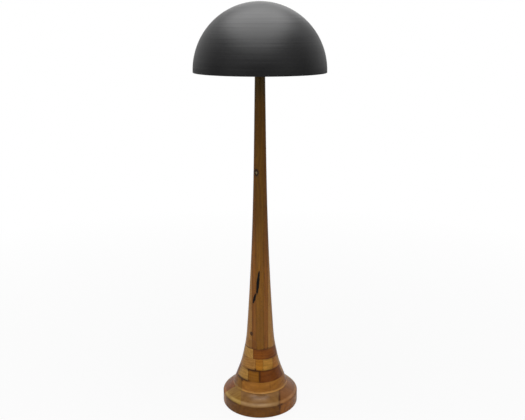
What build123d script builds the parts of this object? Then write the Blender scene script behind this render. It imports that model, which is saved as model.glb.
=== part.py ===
from build123d import *
from math import asin, cos, degrees, radians, sin, sqrt
import os

# Floor lamp: a spun steel dome on a turned wooden stem that is glued up from boards and blocks.
# Millimetres. Z is up, the floor is z = 0, the stem's axis is x = y = 0, and the front faces -Y.

# --- wooden stem: six courses of blocks, then a shaft of upright boards ---
pad_thickness = 2.0
pad_inset = 8.0                 # from the foot's side to the felt's edge
course_heights = (44.0, 36.0, 40.0, 41.0, 43.0, 36.5)   # planed boards, from the floor up
foot_courses = 2                # courses below the foot's shoulder
foot_radius = 146.2
foot_bottom_round = 5.0
shoulder_radius = 106.3         # inner edge of the foot's shoulder, where the flare springs
shoulder_edge_inset = 3.6       # from the foot's side to the shoulder's outer edge
shoulder_fall = 28.9            # from the shoulder's inner edge down to its outer edge
shoulder_crown = 2.0            # how far the shoulder bulges above a straight cone
foot_side_fall = 36.0           # from the shoulder's inner edge down to the upright side
quirk_depth = 1.6               # small groove where the flare meets the shoulder
quirk_height = 1.6

# radius of the flare and shaft at heights above the shoulder's inner edge
flare_stations = [
    (43.0, 90.1),
    (85.0, 75.3),
    (138.0, 63.0),
    (178.0, 55.7),
    (228.0, 50.9),
    (358.0, 42.6),
    (598.0, 30.9),
]
flare_foot_slope = 2.6          # height gained per unit of radius lost where the flare starts
shaft_top_slope = 64.0          # the same at the shaft's top
stem_top = 1296.0
stem_top_radius = 18.2
stem_bore_radius = 5.5

# joints between blocks, seen from above: edges of the rows in y, then for each row the joints in x
block_layout = [
    ((-60.0, 12.0, 80.0), ((-50.0, 76.0), (-84.0, 20.0), (-34.0, 58.0), (-72.0, 36.0))),
    ((-44.0, 40.0), ((-73.0, 74.0), (-30.0, 52.0), (-64.0, 26.0))),
    ((-30.0, 32.0), ((-70.0, 38.0), (-36.0, 30.0), (-24.0, 50.0))),
    ((-22.0, 26.0), ((-46.0, -2.0), (-20.0, 34.0), (-40.0, 12.0))),
    ((-24.0, 20.0), ((-18.0, 11.0, 49.0), (-30.0, 26.0), (-8.0, 30.0))),
    ((-10.0,), ((-27.0,), (-14.0, 18.0))),
]
shaft_joints = (-31.0, -16.0, 15.0, 29.6)   # x of the glue lines between the shaft's boards

# --- underside: recess, weight, and the way in for the supply lead ---
recess_radius = 78.0
recess_depth = 32.0             # above the wood's underside
weight_gap = 3.0                # between the weight's rim and the recess wall
weight_thickness = 12.0
weight_round = 2.0
bottom_washer_radius = 22.0
bottom_washer_thickness = 2.0
bottom_nut_flats = 19.0
bottom_nut_height = 6.0
pipe_below_nut = 3.0
inlet_height = 16.0             # of the lead's inlet above the floor
inlet_bore_radius = 3.2
inlet_barrel_radius = 4.4
inlet_barrel_length = 16.0
inlet_flange_radius = 7.5
inlet_flange_thickness = 2.5
inlet_flange_proud = 0.3        # beyond the foot's side
inlet_fit = 0.1                 # between the bushing's barrel and its hole

# --- threaded pipe and the seat on top of the stem ---
pipe_radius = 5.0
pipe_bore_radius = 3.2
pipe_fit = 0.1                  # between the pipe and what is screwed on it
seat_washer_radius = 16.0
seat_washer_thickness = 2.5
lock_nut_flats = 16.0
lock_nut_height = 3.5
nut_chamfer = 0.2               # of a nut's height

# --- lamp holder with its turn switch ---
holder_radius = 19.5
holder_wall = 2.0
cap_height = 16.0
cap_neck_radius = 9.5
cap_neck_height = 6.0
cap_ledge_radius = 16.0         # inside the cap's rim, on which the core stands
cap_floor = 1.0                 # inner floor above the neck
cap_inner_rise = 5.0            # height of the inner bowl
cap_outer_rise = 6.0            # height of the outer bowl
cap_bulge = 1.8                 # rise at the middle of both bowls
pipe_into_cap = 8.0
grip_screw_radius = 1.5
grip_screw_fit = 0.05
grip_screw_sunk = 0.3           # below the neck's outside
core_gap = 0.3                  # between the core and the housing
core_height = 20.0
housing_ledge = 2.0             # step inside the housing that holds the core down
flange_radius = 24.0
flange_height = 16.0            # of the flange's underside above the cap's rim
flange_thickness = 2.0
skirt_height = 30.0             # of the threaded skirt above the flange
socket_radius = 13.3            # inside of the screw shell
socket_wall = 0.5
socket_height = 24.0
socket_base_hole = 8.0
tongue_width = 5.0
tongue_thickness = 0.5
tongue_length = 11.0
tongue_rise = 2.8
tongue_bend = 0.35              # where it leaves the core, as a share of its half length
tongue_crest = 0.75             # where it reaches its height
tongue_tip = 0.45               # where it ends, folded back
terminal_offset = 10.5
terminal_shank_radius = 1.5
terminal_shank_length = 7.0
terminal_head_radius = 2.8
terminal_head_height = 2.2
terminal_fit = 0.05

switch_height = 7.5             # of the spindle above the cap's rim
spindle_radius = 2.0
spindle_fit = 0.1
spindle_inner_end = 5.0         # from the lamp's axis
rotor_radius = 6.2
rotor_width = 5.0
rotor_distance = 9.0            # from the lamp's axis to the rotor's near face
rotor_gap = 0.4
rotor_notch_radius = 1.6
rotor_notches = 4
knob_radius = 7.0
knob_length = 15.0
knob_gap = 0.6                  # between the knob and the housing
knob_round = 1.2
knob_flutes = 10
knob_flute_radius = 1.2
knob_flute_shift = 0.5          # of the flutes' centres outside the knob
housing_hole_gap = 0.4          # round the spindle, in the housing

# --- shade: dome, spider and the ring that clamps it ---
shade_radius = 236.0
shade_wall = 1.2
shade_lip = 4.0                 # straight part below the dome's equator
hem_radius = 1.8                # of the rolled edge
spider_height = 52.0            # of the spider's plate above the shade's rim
spider_plate = 1.6
spider_ring_radius = 28.0
spider_gap = 0.4                # round the holder's skirt
arm_count = 3
arm_width = 12.0
arm_bead_radius = 2.0
arm_bead_margin = 14.0          # bead's ends to the arm's ends
tab_width = 18.0
tab_height = 16.0
clamp_ring_radius = 25.0
clamp_ring_height = 8.0
clamp_ring_gap = 0.3
clamp_ring_grips = 18
clamp_ring_grip_radius = 1.8
clamp_ring_grip_shift = 1.1     # of the grips' centres outside the ring

# --- bulb ---
bulb_contact_gap = 0.3          # above the tongue
bulb_contact_radius = 4.7
bulb_contact_height = 1.4
bulb_insulator_radius = 11.0
bulb_insulator_height = 3.6
bulb_cap_gap = 0.3              # inside the screw shell
bulb_cap_height = 22.0
bulb_cap_wall = 0.4
bulb_cap_flare = 2.0            # height of the cone between insulator and thread
bulb_cap_lap = 1.0              # of the cap's end over the insulator's edge
bulb_neck_radius = 12.0
bulb_neck_sunk = 11.0           # of the glass neck's end in the cap
bulb_neck_straight = 15.4       # straight part of the glass neck
bulb_waist_angle = -28.0        # elevation at which the neck's curve meets the globe
bulb_radius = 30.0
bulb_length = 106.0
bulb_glass = 1.0

# --- places that follow from the sizes above ---
wood_bottom = pad_thickness
shoulder_top = wood_bottom + sum(course_heights[:foot_courses])
shoulder_edge_radius = foot_radius - shoulder_edge_inset
courses_top = wood_bottom + sum(course_heights)
recess_top = wood_bottom + recess_depth
weight_bottom = recess_top - weight_thickness
bottom_nut_low = weight_bottom - bottom_washer_thickness - bottom_nut_height
pipe_bottom = bottom_nut_low - pipe_below_nut
cap_bottom = stem_top + seat_washer_thickness + lock_nut_height
cap_top = cap_bottom + cap_height
pipe_top = cap_bottom + pipe_into_cap
core_radius = holder_radius - holder_wall - core_gap
core_top = cap_top + core_height
flange_low = cap_top + flange_height
flange_top = flange_low + flange_thickness
skirt_top = flange_top + skirt_height
housing_bore = holder_radius - holder_wall
spindle_z = cap_top + switch_height
tongue_top = core_top + tongue_rise + tongue_thickness
clamp_ring_low = flange_top + spider_plate
rim_z = flange_top - spider_height
equator_z = rim_z + shade_lip
bulb_bottom = tongue_top + bulb_contact_gap
far = 2.0 * foot_radius         # reaches past the wood on every side
bore_clear = pipe_radius + pipe_fit
up = (Align.CENTER, Align.CENTER, Align.MIN)     # a cylinder that stands on its place
down = (Align.CENTER, Align.CENTER, Align.MAX)   # a cylinder that hangs from its place

os.makedirs("parts", exist_ok=True)


def turned(*edges):
    """Turn a closed outline of edges, drawn as (radius, height), about the Z axis."""
    return revolve(Plane.XZ * make_face(Curve() + list(edges)), Axis.Z)


def turned_points(*points):
    """Turn a closed outline of straight edges about the Z axis."""
    return turned(Polyline(*points, close=True))


def tube(outer, inner, low, high):
    """Upright tube between two heights."""
    return turned_points((inner, low), (outer, low), (outer, high), (inner, high))


def rod_along_y(radius, y_low, y_high, z):
    """Round rod along Y in the plane x = 0."""
    middle = Pos(0, (y_low + y_high) / 2, z) * Rot(90, 0, 0)
    return middle * Cylinder(radius, y_high - y_low)


def rod_along_x(radius, x_low, x_high, z):
    """Round rod along X in the plane y = 0."""
    middle = Pos((x_low + x_high) / 2, 0, z) * Rot(0, 90, 0)
    return middle * Cylinder(radius, x_high - x_low)


def hex_nut(flats, height, low, bore):
    """Hexagon nut, its top edge turned to a slight cone."""
    prism = Pos(0, 0, low) * extrude(RegularPolygon(flats / 2, 6, major_radius=False), height)
    corner = flats / sqrt(3.0)
    chamfer_size = nut_chamfer * height
    turned_blank = turned_points(
        (bore, low),
        (corner, low),
        (corner, low + height - chamfer_size),
        (corner - chamfer_size, low + height),
        (bore, low + height),
    )
    return prism & turned_blank


def turned_band(outer, inner, low_angle, high_angle, turn):
    """Part of a spherical shell about the dome's centre, between two elevations, centred on +X."""
    outside = CenterArc((0, equator_z), outer, low_angle, high_angle - low_angle)
    inside = CenterArc((0, equator_z), inner, low_angle, high_angle - low_angle)
    band = make_face(Curve() + [
        outside,
        inside,
        Line(inside @ 0, outside @ 0),
        Line(inside @ 1, outside @ 1),
    ])
    return Rot(0, 0, -turn / 2) * revolve(Plane.XZ * band, Axis.Z, turn)


def save(name, shape):
    """Write one node: a solid, or a group of separate solids."""
    solids = shape if isinstance(shape, list) else list(shape.solids())
    node = solids[0] if len(solids) == 1 else Compound(solids)
    export_step(node, "parts/" + name + ".step")


# ---------------------------------------------------------------- wooden stem

def stem():
    """The whole turned stem in one solid, before its glue lines divide it."""
    bottom_edge = foot_radius - foot_bottom_round
    round_top = wood_bottom + foot_bottom_round
    side_top = shoulder_top - foot_side_fall
    quirk_low = shoulder_top - quirk_height
    quirk_radius = shoulder_radius - quirk_depth
    edge = Vector(shoulder_edge_radius, shoulder_top - shoulder_fall)
    spring = Vector(shoulder_radius, quirk_low)
    outward = (edge - spring).normalized().rotate(Axis.Z, 90)
    flare = [(shoulder_radius, shoulder_top)]
    flare += [(radius, shoulder_top + height) for height, radius in flare_stations]
    flare += [(stem_top_radius, stem_top)]
    return turned(
        CenterArc((bottom_edge, round_top), foot_bottom_round, -90, 90),
        Line((foot_radius, round_top), (foot_radius, side_top)),
        TangentArc((foot_radius, side_top), edge, tangent=(0, 1)),
        ThreePointArc(edge, (edge + spring) / 2 + outward * shoulder_crown, spring),
        Polyline(spring, (quirk_radius, quirk_low), (shoulder_radius, shoulder_top)),
        Spline(*flare, tangents=[(-1, flare_foot_slope), (-1, shaft_top_slope)]),
        Polyline(
            (stem_top_radius, stem_top),
            (stem_bore_radius, stem_top),
            (stem_bore_radius, wood_bottom),
            (bottom_edge, wood_bottom),
        ),
    )


def slab(x_low, x_high, y_low, y_high, z_low, z_high):
    """Box between two corners."""
    size = (x_high - x_low, y_high - y_low, z_high - z_low)
    return Pos(x_low, y_low, z_low) * Box(*size, align=Align.MIN)


def split_course(course, low, high, row_edges, row_joints):
    """Divide one course of the stem into its blocks."""
    y_edges = [-far, *row_edges, far]
    blocks = []
    for y_low, y_high, joints in zip(y_edges, y_edges[1:], row_joints):
        x_edges = [-far, *joints, far]
        for x_low, x_high in zip(x_edges, x_edges[1:]):
            block = course & slab(x_low, x_high, y_low, y_high, low, high)
            blocks += block.solids()
    return blocks


def lead_channel():
    """Space for the supply lead's bushing, from the foot's side into the recess."""
    seat_y = foot_radius + inlet_flange_proud - inlet_flange_thickness
    hole = rod_along_y(inlet_barrel_radius + inlet_fit, 0, foot_radius, inlet_height)
    spot_face = rod_along_y(inlet_flange_radius + inlet_fit, seat_y, far, inlet_height)
    return hole + spot_face


def make_wood():
    whole = stem()
    recess = tube(recess_radius, 0.0, 0.0, recess_top)
    low = wood_bottom
    for number, (height, (row_edges, row_joints)) in enumerate(zip(course_heights, block_layout)):
        high = low + height
        course = whole & slab(-far, far, -far, far, low, high)
        if number == 0:
            course = course - recess - lead_channel()
        save("stem_course_" + str(number + 1), split_course(course, low, high, row_edges, row_joints))
        low = high

    shaft = whole & slab(-far, far, -far, far, courses_top, stem_top)
    names = ("left_edge", "left", "centre", "right", "right_edge")
    x_edges = [-far, *shaft_joints, far]
    for name, x_low, x_high in zip(names, x_edges, x_edges[1:]):
        board = shaft & slab(x_low, x_high, -far, far, courses_top, stem_top)
        save("shaft_" + name + "_board", board)


# ---------------------------------------------------------------- underside and pipe

def make_underside():
    save("felt_pad", tube(foot_radius - pad_inset, 0.0, 0.0, pad_thickness))

    weight_radius = recess_radius - weight_gap
    save("foot_weight", turned(
        Polyline(
            (weight_radius, weight_bottom + weight_round),
            (weight_radius, recess_top),
            (stem_bore_radius, recess_top),
            (stem_bore_radius, weight_bottom),
            (weight_radius - weight_round, weight_bottom),
        ),
        CenterArc((weight_radius - weight_round, weight_bottom + weight_round), weight_round, -90, 90),
    ))
    washer_low = weight_bottom - bottom_washer_thickness
    save("bottom_washer", tube(bottom_washer_radius, bore_clear, washer_low, weight_bottom))
    save("bottom_nut", hex_nut(bottom_nut_flats, bottom_nut_height, bottom_nut_low, bore_clear))

    flange_face = foot_radius + inlet_flange_proud
    seat_y = flange_face - inlet_flange_thickness
    barrel = rod_along_y(inlet_barrel_radius, seat_y - inlet_barrel_length, seat_y, inlet_height)
    flange = rod_along_y(inlet_flange_radius, seat_y, flange_face, inlet_height)
    hole = rod_along_y(inlet_bore_radius, 0, far, inlet_height)
    save("inlet_bushing", barrel + flange - hole)


def make_pipe():
    save("threaded_pipe", tube(pipe_radius, pipe_bore_radius, pipe_bottom, pipe_top))
    washer_top = stem_top + seat_washer_thickness
    save("seat_washer", tube(seat_washer_radius, bore_clear, stem_top, washer_top))
    save("lock_nut", hex_nut(lock_nut_flats, lock_nut_height, washer_top, bore_clear))


# ---------------------------------------------------------------- lamp holder

def make_holder_cap():
    """Cup that screws on the pipe and closes the lamp holder from below."""
    neck_top = cap_bottom + cap_neck_height
    floor_z = neck_top + cap_floor
    inner_shoulder = floor_z + cap_inner_rise
    outer_shoulder = neck_top + cap_outer_rise
    inner_middle = (cap_neck_radius + cap_ledge_radius + cap_bulge) / 2
    outer_middle = (cap_neck_radius + holder_radius + cap_bulge) / 2
    cup = turned(
        Polyline(
            (cap_neck_radius, neck_top),
            (cap_neck_radius, cap_bottom),
            (bore_clear, cap_bottom),
            (bore_clear, floor_z),
            (cap_neck_radius, floor_z),
        ),
        ThreePointArc(
            (cap_neck_radius, floor_z),
            (inner_middle, floor_z + cap_bulge),
            (cap_ledge_radius, inner_shoulder),
        ),
        Polyline(
            (cap_ledge_radius, inner_shoulder),
            (cap_ledge_radius, cap_top),
            (holder_radius, cap_top),
            (holder_radius, outer_shoulder),
        ),
        ThreePointArc(
            (holder_radius, outer_shoulder),
            (outer_middle, neck_top + cap_bulge),
            (cap_neck_radius, neck_top),
        ),
    )
    screw_z = cap_bottom + cap_neck_height / 2
    hole = rod_along_x(grip_screw_radius + grip_screw_fit, 0, holder_radius, screw_z)
    screw = rod_along_x(grip_screw_radius, bore_clear, cap_neck_radius - grip_screw_sunk, screw_z)
    save("holder_cap", cup - hole)
    save("grip_screw", screw)


def make_housing():
    """Outer housing: a wall with a flange for the shade and a skirt for its clamp ring."""
    wall = turned_points(
        (housing_bore, cap_top),
        (holder_radius, cap_top),
        (holder_radius, flange_low),
        (flange_radius, flange_low),
        (flange_radius, flange_top),
        (holder_radius, flange_top),
        (holder_radius, skirt_top),
        (housing_bore - housing_ledge, skirt_top),
        (housing_bore - housing_ledge, core_top),
        (housing_bore, core_top),
    )
    hole = rod_along_y(spindle_radius + housing_hole_gap, -far, 0, spindle_z)
    save("holder_housing", wall - hole)


def make_core():
    """Insulating block that carries the contacts and the switch."""
    core = Pos(0, 0, cap_top) * Cylinder(core_radius, core_height, align=up)
    slot_half = rotor_radius + rotor_gap
    slot_far = -(rotor_distance + rotor_width + rotor_gap)
    slot_near = -(rotor_distance - rotor_gap)
    slot = slab(-slot_half, slot_half, slot_far, slot_near, cap_bottom, spindle_z + slot_half)
    spindle_hole = rod_along_y(spindle_radius + spindle_fit, -far, -spindle_inner_end, spindle_z)
    core = core - slot - spindle_hole
    screws = []
    for side in (-1, 1):
        centre = Pos(side * terminal_offset, terminal_offset / 2, cap_top)
        hole = Cylinder(terminal_shank_radius + terminal_fit, terminal_shank_length, align=up)
        head = Cylinder(terminal_head_radius, terminal_head_height, align=down)
        shank = Cylinder(terminal_shank_radius, terminal_shank_length, align=up)
        core = core - centre * hole
        screws += (centre * (head + shank)).solids()
    save("switch_core", core)
    save("terminal_screws", screws)


def make_contacts():
    """Screw shell for the bulb and the sprung tongue under its middle."""
    shell_outer = socket_radius + socket_wall
    save("screw_shell", turned_points(
        (socket_base_hole, core_top),
        (shell_outer, core_top),
        (shell_outer, core_top + socket_height),
        (socket_radius, core_top + socket_height),
        (socket_radius, core_top + socket_wall),
        (socket_base_hole, core_top + socket_wall),
    ))
    half = tongue_length / 2
    path = Polyline(
        (-half, core_top + tongue_thickness / 2),
        (tongue_bend * half, core_top + tongue_thickness / 2),
        (tongue_crest * half, tongue_top - tongue_thickness / 2),
        (-tongue_tip * half, tongue_top - tongue_thickness / 2),
    )
    strip = offset(path, tongue_thickness / 2, side=Side.BOTH, kind=Kind.INTERSECTION)
    profile = Plane.XZ * make_face(strip)
    save("centre_contact", extrude(profile, tongue_width / 2, both=True))


def make_switch():
    """Spindle with its rotor inside the core, and the knob outside the housing."""
    knob_near = -(holder_radius + knob_gap)
    knob_far = knob_near - knob_length
    spindle_far = knob_near - knob_length / 2
    spindle = rod_along_y(spindle_radius, spindle_far, -spindle_inner_end - spindle_fit, spindle_z)
    save("switch_spindle", spindle)

    disc = rod_along_y(rotor_radius, -rotor_distance - rotor_width, -rotor_distance, spindle_z)
    bore = rod_along_y(spindle_radius, -far, 0, spindle_z)
    notches = []
    for index in range(rotor_notches):
        angle = radians(360.0 / rotor_notches * (index + 0.5))
        notch = rod_along_y(rotor_notch_radius, -far, 0, spindle_z + rotor_radius * sin(angle))
        notches.append(Pos(rotor_radius * cos(angle), 0, 0) * notch)
    save("switch_rotor", disc - bore - notches)

    knob = rod_along_y(knob_radius, knob_far, knob_near, spindle_z)
    knob = fillet(knob.edges().filter_by(GeomType.CIRCLE).group_by(Axis.Y)[0], knob_round)
    flute_circle = knob_radius + knob_flute_shift
    flutes = []
    for index in range(knob_flutes):
        angle = radians(360.0 / knob_flutes * index)
        flute = rod_along_y(knob_flute_radius, -far, 0, spindle_z + flute_circle * sin(angle))
        flutes.append(Pos(flute_circle * cos(angle), 0, 0) * flute)
    save("switch_knob", knob - flutes - rod_along_y(spindle_radius, spindle_far, 0, spindle_z))


# ---------------------------------------------------------------- shade

def make_shade():
    """Spun dome with a short straight lip that ends in a rolled edge."""
    inner = shade_radius - shade_wall
    hem_z = rim_z + hem_radius
    hem_x = shade_radius - hem_radius
    dome = turned(
        CenterArc((0, equator_z), shade_radius, 0, 90),
        Line((0, equator_z + shade_radius), (0, equator_z + inner)),
        CenterArc((0, equator_z), inner, 0, 90),
        Line((inner, equator_z), (inner, hem_z)),
        Line((inner, hem_z), (shade_radius, hem_z)),
        Line((shade_radius, hem_z), (shade_radius, equator_z)),
    )
    hem = turned(CenterArc((hem_x, hem_z), hem_radius, 0, 360))
    save("shade_dome", dome + hem)


def make_spider():
    """Plate ring with three beaded arms, whose tabs are welded inside the dome."""
    inner = shade_radius - shade_wall
    low = flange_top
    high = low + spider_plate
    rise = high - equator_z
    wall_reach = sqrt(inner * inner - rise * rise) - spider_plate / 2
    ring = tube(spider_ring_radius, holder_radius + spider_gap, low, high)
    start = (spider_ring_radius + holder_radius) / 2
    bar = slab(start, wall_reach, -arm_width / 2, arm_width / 2, low, high)
    bead_start = spider_ring_radius + arm_bead_margin
    bead_end = wall_reach - arm_bead_margin
    bead = rod_along_x(arm_bead_radius, bead_start, bead_end, high)
    bead = bead & slab(0, far, -far, far, high - spider_plate / 2, high + far)
    low_angle = degrees(asin((low - equator_z) / inner))
    high_angle = degrees(asin((low + tab_height - equator_z) / inner))
    turn = degrees(tab_width / inner)
    band = turned_band(inner, inner - spider_plate, low_angle, high_angle, turn)
    spider = ring
    for index in range(arm_count):
        arm = Rot(0, 0, 90 + index * 360.0 / arm_count)
        spider = spider + arm * (bar + bead + band)
    save("shade_spider", spider)


def make_clamp_ring():
    """Ring with finger grips that screws down on the skirt and holds the spider."""
    high = clamp_ring_low + clamp_ring_height
    ring = tube(clamp_ring_radius, holder_radius + clamp_ring_gap, clamp_ring_low, high)
    grip_circle = clamp_ring_radius + clamp_ring_grip_shift
    grips = []
    for index in range(clamp_ring_grips):
        angle = radians(360.0 / clamp_ring_grips * index)
        place = Pos(grip_circle * cos(angle), grip_circle * sin(angle), clamp_ring_low)
        grips.append(place * Cylinder(clamp_ring_grip_radius, clamp_ring_height, align=up))
    save("clamp_ring", ring - grips)


# ---------------------------------------------------------------- bulb

def bulb_outline(inset):
    """Edges of the globe from its neck to its top, inset from the outer glass."""
    neck = bulb_neck_radius - inset
    cap_high = bulb_bottom + bulb_contact_height + bulb_insulator_height + bulb_cap_height
    low = cap_high - bulb_neck_sunk
    centre = bulb_bottom + bulb_length - bulb_radius
    radius = bulb_radius - inset
    start = (neck, low + bulb_neck_straight)
    crown = CenterArc((0, centre), radius, bulb_waist_angle, 90 - bulb_waist_angle)
    side = Spline(start, crown @ 0, tangents=[(0, 1), crown % 0])
    return (neck, low), start, [side, crown], crown @ 1


def make_bulb():
    """Frosted bulb with a screw cap."""
    contact_top = bulb_bottom + bulb_contact_height
    insulator_top = contact_top + bulb_insulator_height
    cap_outer = socket_radius - bulb_cap_gap
    cap_inner = cap_outer - bulb_cap_wall
    cap_high = insulator_top + bulb_cap_height
    save("bulb_contact", tube(bulb_contact_radius, 0.0, bulb_bottom, contact_top))
    save("bulb_insulator", turned_points(
        (0, contact_top),
        (bulb_contact_radius, contact_top),
        (bulb_insulator_radius, insulator_top),
        (0, insulator_top),
    ))
    save("bulb_cap", turned_points(
        (0, insulator_top),
        (bulb_insulator_radius, insulator_top),
        (cap_outer, insulator_top + bulb_cap_flare),
        (cap_outer, cap_high),
        (cap_inner, cap_high),
        (cap_inner, insulator_top + bulb_cap_flare + bulb_cap_wall),
        (bulb_insulator_radius - bulb_cap_lap, insulator_top + bulb_cap_wall),
        (0, insulator_top + bulb_cap_wall),
    ))
    outer_low, outer_start, outer_edges, outer_top = bulb_outline(0.0)
    inner_low, inner_start, inner_edges, inner_top = bulb_outline(bulb_glass)
    save("bulb_globe", turned(
        Line(outer_low, outer_start),
        *outer_edges,
        Line(outer_top, inner_top),
        *inner_edges,
        Line(inner_start, inner_low),
        Line(inner_low, outer_low),
    ))


make_wood()
make_underside()
make_pipe()
make_holder_cap()
make_housing()
make_core()
make_contacts()
make_switch()
make_shade()
make_spider()
make_clamp_ring()
make_bulb()
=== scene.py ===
"""Floor lamp with a spun steel dome on a turned stem of glued wooden boards and blocks: its looks.

Sizes are in millimetres and become metres when a mesh is made. Z is up and the viewer is on the -Y side.
"""

import random
from math import asin, cos, degrees, radians, sin, tau

import bmesh
import bpy
import numpy as np
from mathutils import Matrix, Vector


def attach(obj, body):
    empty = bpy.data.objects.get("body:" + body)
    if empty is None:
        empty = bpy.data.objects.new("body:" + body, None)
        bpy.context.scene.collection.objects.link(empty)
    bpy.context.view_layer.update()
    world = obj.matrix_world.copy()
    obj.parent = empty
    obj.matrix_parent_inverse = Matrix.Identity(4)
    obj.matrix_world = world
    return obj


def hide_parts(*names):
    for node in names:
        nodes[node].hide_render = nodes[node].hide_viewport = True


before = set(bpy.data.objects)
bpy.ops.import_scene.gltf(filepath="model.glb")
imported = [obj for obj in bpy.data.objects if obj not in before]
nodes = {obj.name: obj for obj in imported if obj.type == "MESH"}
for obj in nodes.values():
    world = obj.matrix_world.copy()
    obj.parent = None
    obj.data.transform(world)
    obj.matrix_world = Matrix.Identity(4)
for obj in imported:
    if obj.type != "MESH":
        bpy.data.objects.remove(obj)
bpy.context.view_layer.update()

MM = 0.001                          # metres in a millimetre
TINY = 1e-6                         # mm, for comparing heights
WELD = 1e-4                         # mm, points nearer than this are one point

# --- the stem's turned outline, as the solids have it ---
PAD_THICKNESS = 2.0
COURSE_HEIGHTS = (44.0, 36.0, 40.0, 41.0, 43.0, 36.5)
FOOT_RADIUS = 146.2
FOOT_BOTTOM_ROUND = 5.0
SHOULDER_TOP = 82.0
SHOULDER_RADIUS = 106.3
SHOULDER_EDGE = (142.6, 53.1)       # radius and height of the arris outside the shoulder
SHOULDER_CROWN = 2.0                # how far the shoulder bulges above a straight cone
CROWN_DIRECTION = (0.6, 0.8)        # square to the shoulder's slope, outward and up
SIDE_TOP = 46.0                     # height where the upright side starts to lean in
QUIRK = 1.6                         # small groove where the flare meets the shoulder
ARRIS_ROUND = 6.0                   # radius of the arris between the side and the shoulder
ARRIS_ANGLES = (16, 50)             # degrees above the horizontal where that round starts and ends
LIP = ((106.1, 82.5), (105.0, 83.1), (104.0, 84.5), (103.4, 87.0))   # thin lip at the flare's foot
FLARE_STATIONS = ((82.0, 106.3), (125.0, 90.1), (167.0, 75.3), (220.0, 63.0), (260.0, 55.7),
                  (310.0, 50.9), (440.0, 42.6), (680.0, 30.9), (1296.0, 18.2))
FLARE_FOOT_SLOPE = -1 / 2.6         # change of radius with height where the flare starts
SHAFT_TOP_SLOPE = -1 / 64.0
BORE_RADIUS = 5.5
COURSES_TOP = PAD_THICKNESS + sum(COURSE_HEIGHTS)
STEM_TOP = 1296.0

# joints between blocks: edges of the rows in y, then for each row the joints in x
BLOCK_LAYOUT = (
    ((-60.0, 12.0, 80.0), ((-50.0, 76.0), (-84.0, 20.0), (-34.0, 58.0), (-72.0, 36.0))),
    ((-44.0, 40.0), ((-73.0, 74.0), (-30.0, 52.0), (-64.0, 26.0))),
    ((-30.0, 32.0), ((-70.0, 38.0), (-36.0, 30.0), (-24.0, 50.0))),
    ((-22.0, 26.0), ((-46.0, -2.0), (-20.0, 34.0), (-40.0, 12.0))),
    ((-24.0, 20.0), ((-18.0, 11.0, 49.0), (-30.0, 26.0), (-8.0, 30.0))),
    ((-10.0,), ((-27.0,), (-14.0, 18.0))),
)
SHAFT_JOINTS = (-31.0, -16.0, 15.0, 29.6)   # x of the glue lines between the shaft's boards

TURN_STEPS = 144                    # facets round the stem
DOME_STEPS = 192                    # facets round the dome
SHOULDER_STEPS = 10
FLARE_SPACING = 4.0                 # mm between points up the flare
SHAFT_SPACING = 14.0                # mm between points up the shaft
FAR = 400.0                         # mm, past every side of the stem


# ------------------------------------------------------------------ helpers

def linear(hex_colour):
    """An sRGB hex colour as linear RGBA."""
    values = [int(hex_colour[start:start + 2], 16) / 255 for start in (1, 3, 5)]
    return tuple(v / 12.92 if v <= 0.04045 else ((v + 0.055) / 1.055) ** 2.4 for v in values) + (1.0,)


def add(tree, kind, inputs=None, **settings):
    """Add a shader node: settings are its properties, inputs its sockets' values or their links."""
    made = tree.nodes.new("ShaderNode" + kind)
    for name, value in settings.items():
        setattr(made, name, value)
    for socket, value in (inputs or {}).items():
        if isinstance(value, bpy.types.NodeSocket):
            tree.links.new(value, made.inputs[socket])
        else:
            made.inputs[socket].default_value = value
    return made


def new_material(name):
    """A material with only its output node, and its tree."""
    material = bpy.data.materials.new(name)
    material.use_nodes = True
    material.node_tree.nodes.clear()
    return material, material.node_tree


def finish_material(tree, inputs):
    """End a material with its surface shader."""
    shader = add(tree, "BsdfPrincipled", inputs)
    add(tree, "OutputMaterial", {"Surface": shader.outputs["BSDF"]})


def make_piece(name, bm, material, body, replaced=None, sharp=35.0):
    """Turn a bmesh drawn in millimetres into a piece that rides on a body."""
    bmesh.ops.scale(bm, vec=(MM, MM, MM), verts=bm.verts)
    mesh = bpy.data.meshes.new(name)
    for face in bm.faces:
        face.smooth = True
    bm.to_mesh(mesh)
    bm.free()
    mesh.set_sharp_from_angle(angle=radians(sharp))
    mesh.materials.append(material)
    piece = bpy.data.objects.new(name, mesh)
    bpy.context.scene.collection.objects.link(piece)
    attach(piece, body)
    if replaced:
        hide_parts(replaced)
    return piece


def dress(node, material):
    """Give a node of the solids its material."""
    nodes[node].data.materials.clear()
    nodes[node].data.materials.append(material)


def arc(centre, radius, start, end, steps):
    """Points of an arc in the (radius, height) plane, angles in degrees."""
    angles = [radians(start + (end - start) * step / steps) for step in range(steps + 1)]
    return [(centre[0] + radius * cos(a), centre[1] + radius * sin(a)) for a in angles]


def turn(points, steps=TURN_STEPS, closed=True):
    """Spin an outline of (radius, height) points about the Z axis into a closed solid."""
    bm = bmesh.new()
    verts = [bm.verts.new((radius, 0, height)) for radius, height in points]
    edges = [bm.edges.new(pair) for pair in zip(verts, verts[1:])]
    if closed:
        edges.append(bm.edges.new((verts[-1], verts[0])))
    bmesh.ops.spin(bm, geom=verts + edges, cent=(0, 0, 0), axis=(0, 0, 1), angle=tau, steps=steps,
                   use_merge=True)
    bmesh.ops.remove_doubles(bm, verts=bm.verts, dist=WELD)
    bmesh.ops.recalc_face_normals(bm, faces=bm.faces)
    return bm


# ------------------------------------------------------------------ wood: shapes

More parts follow.
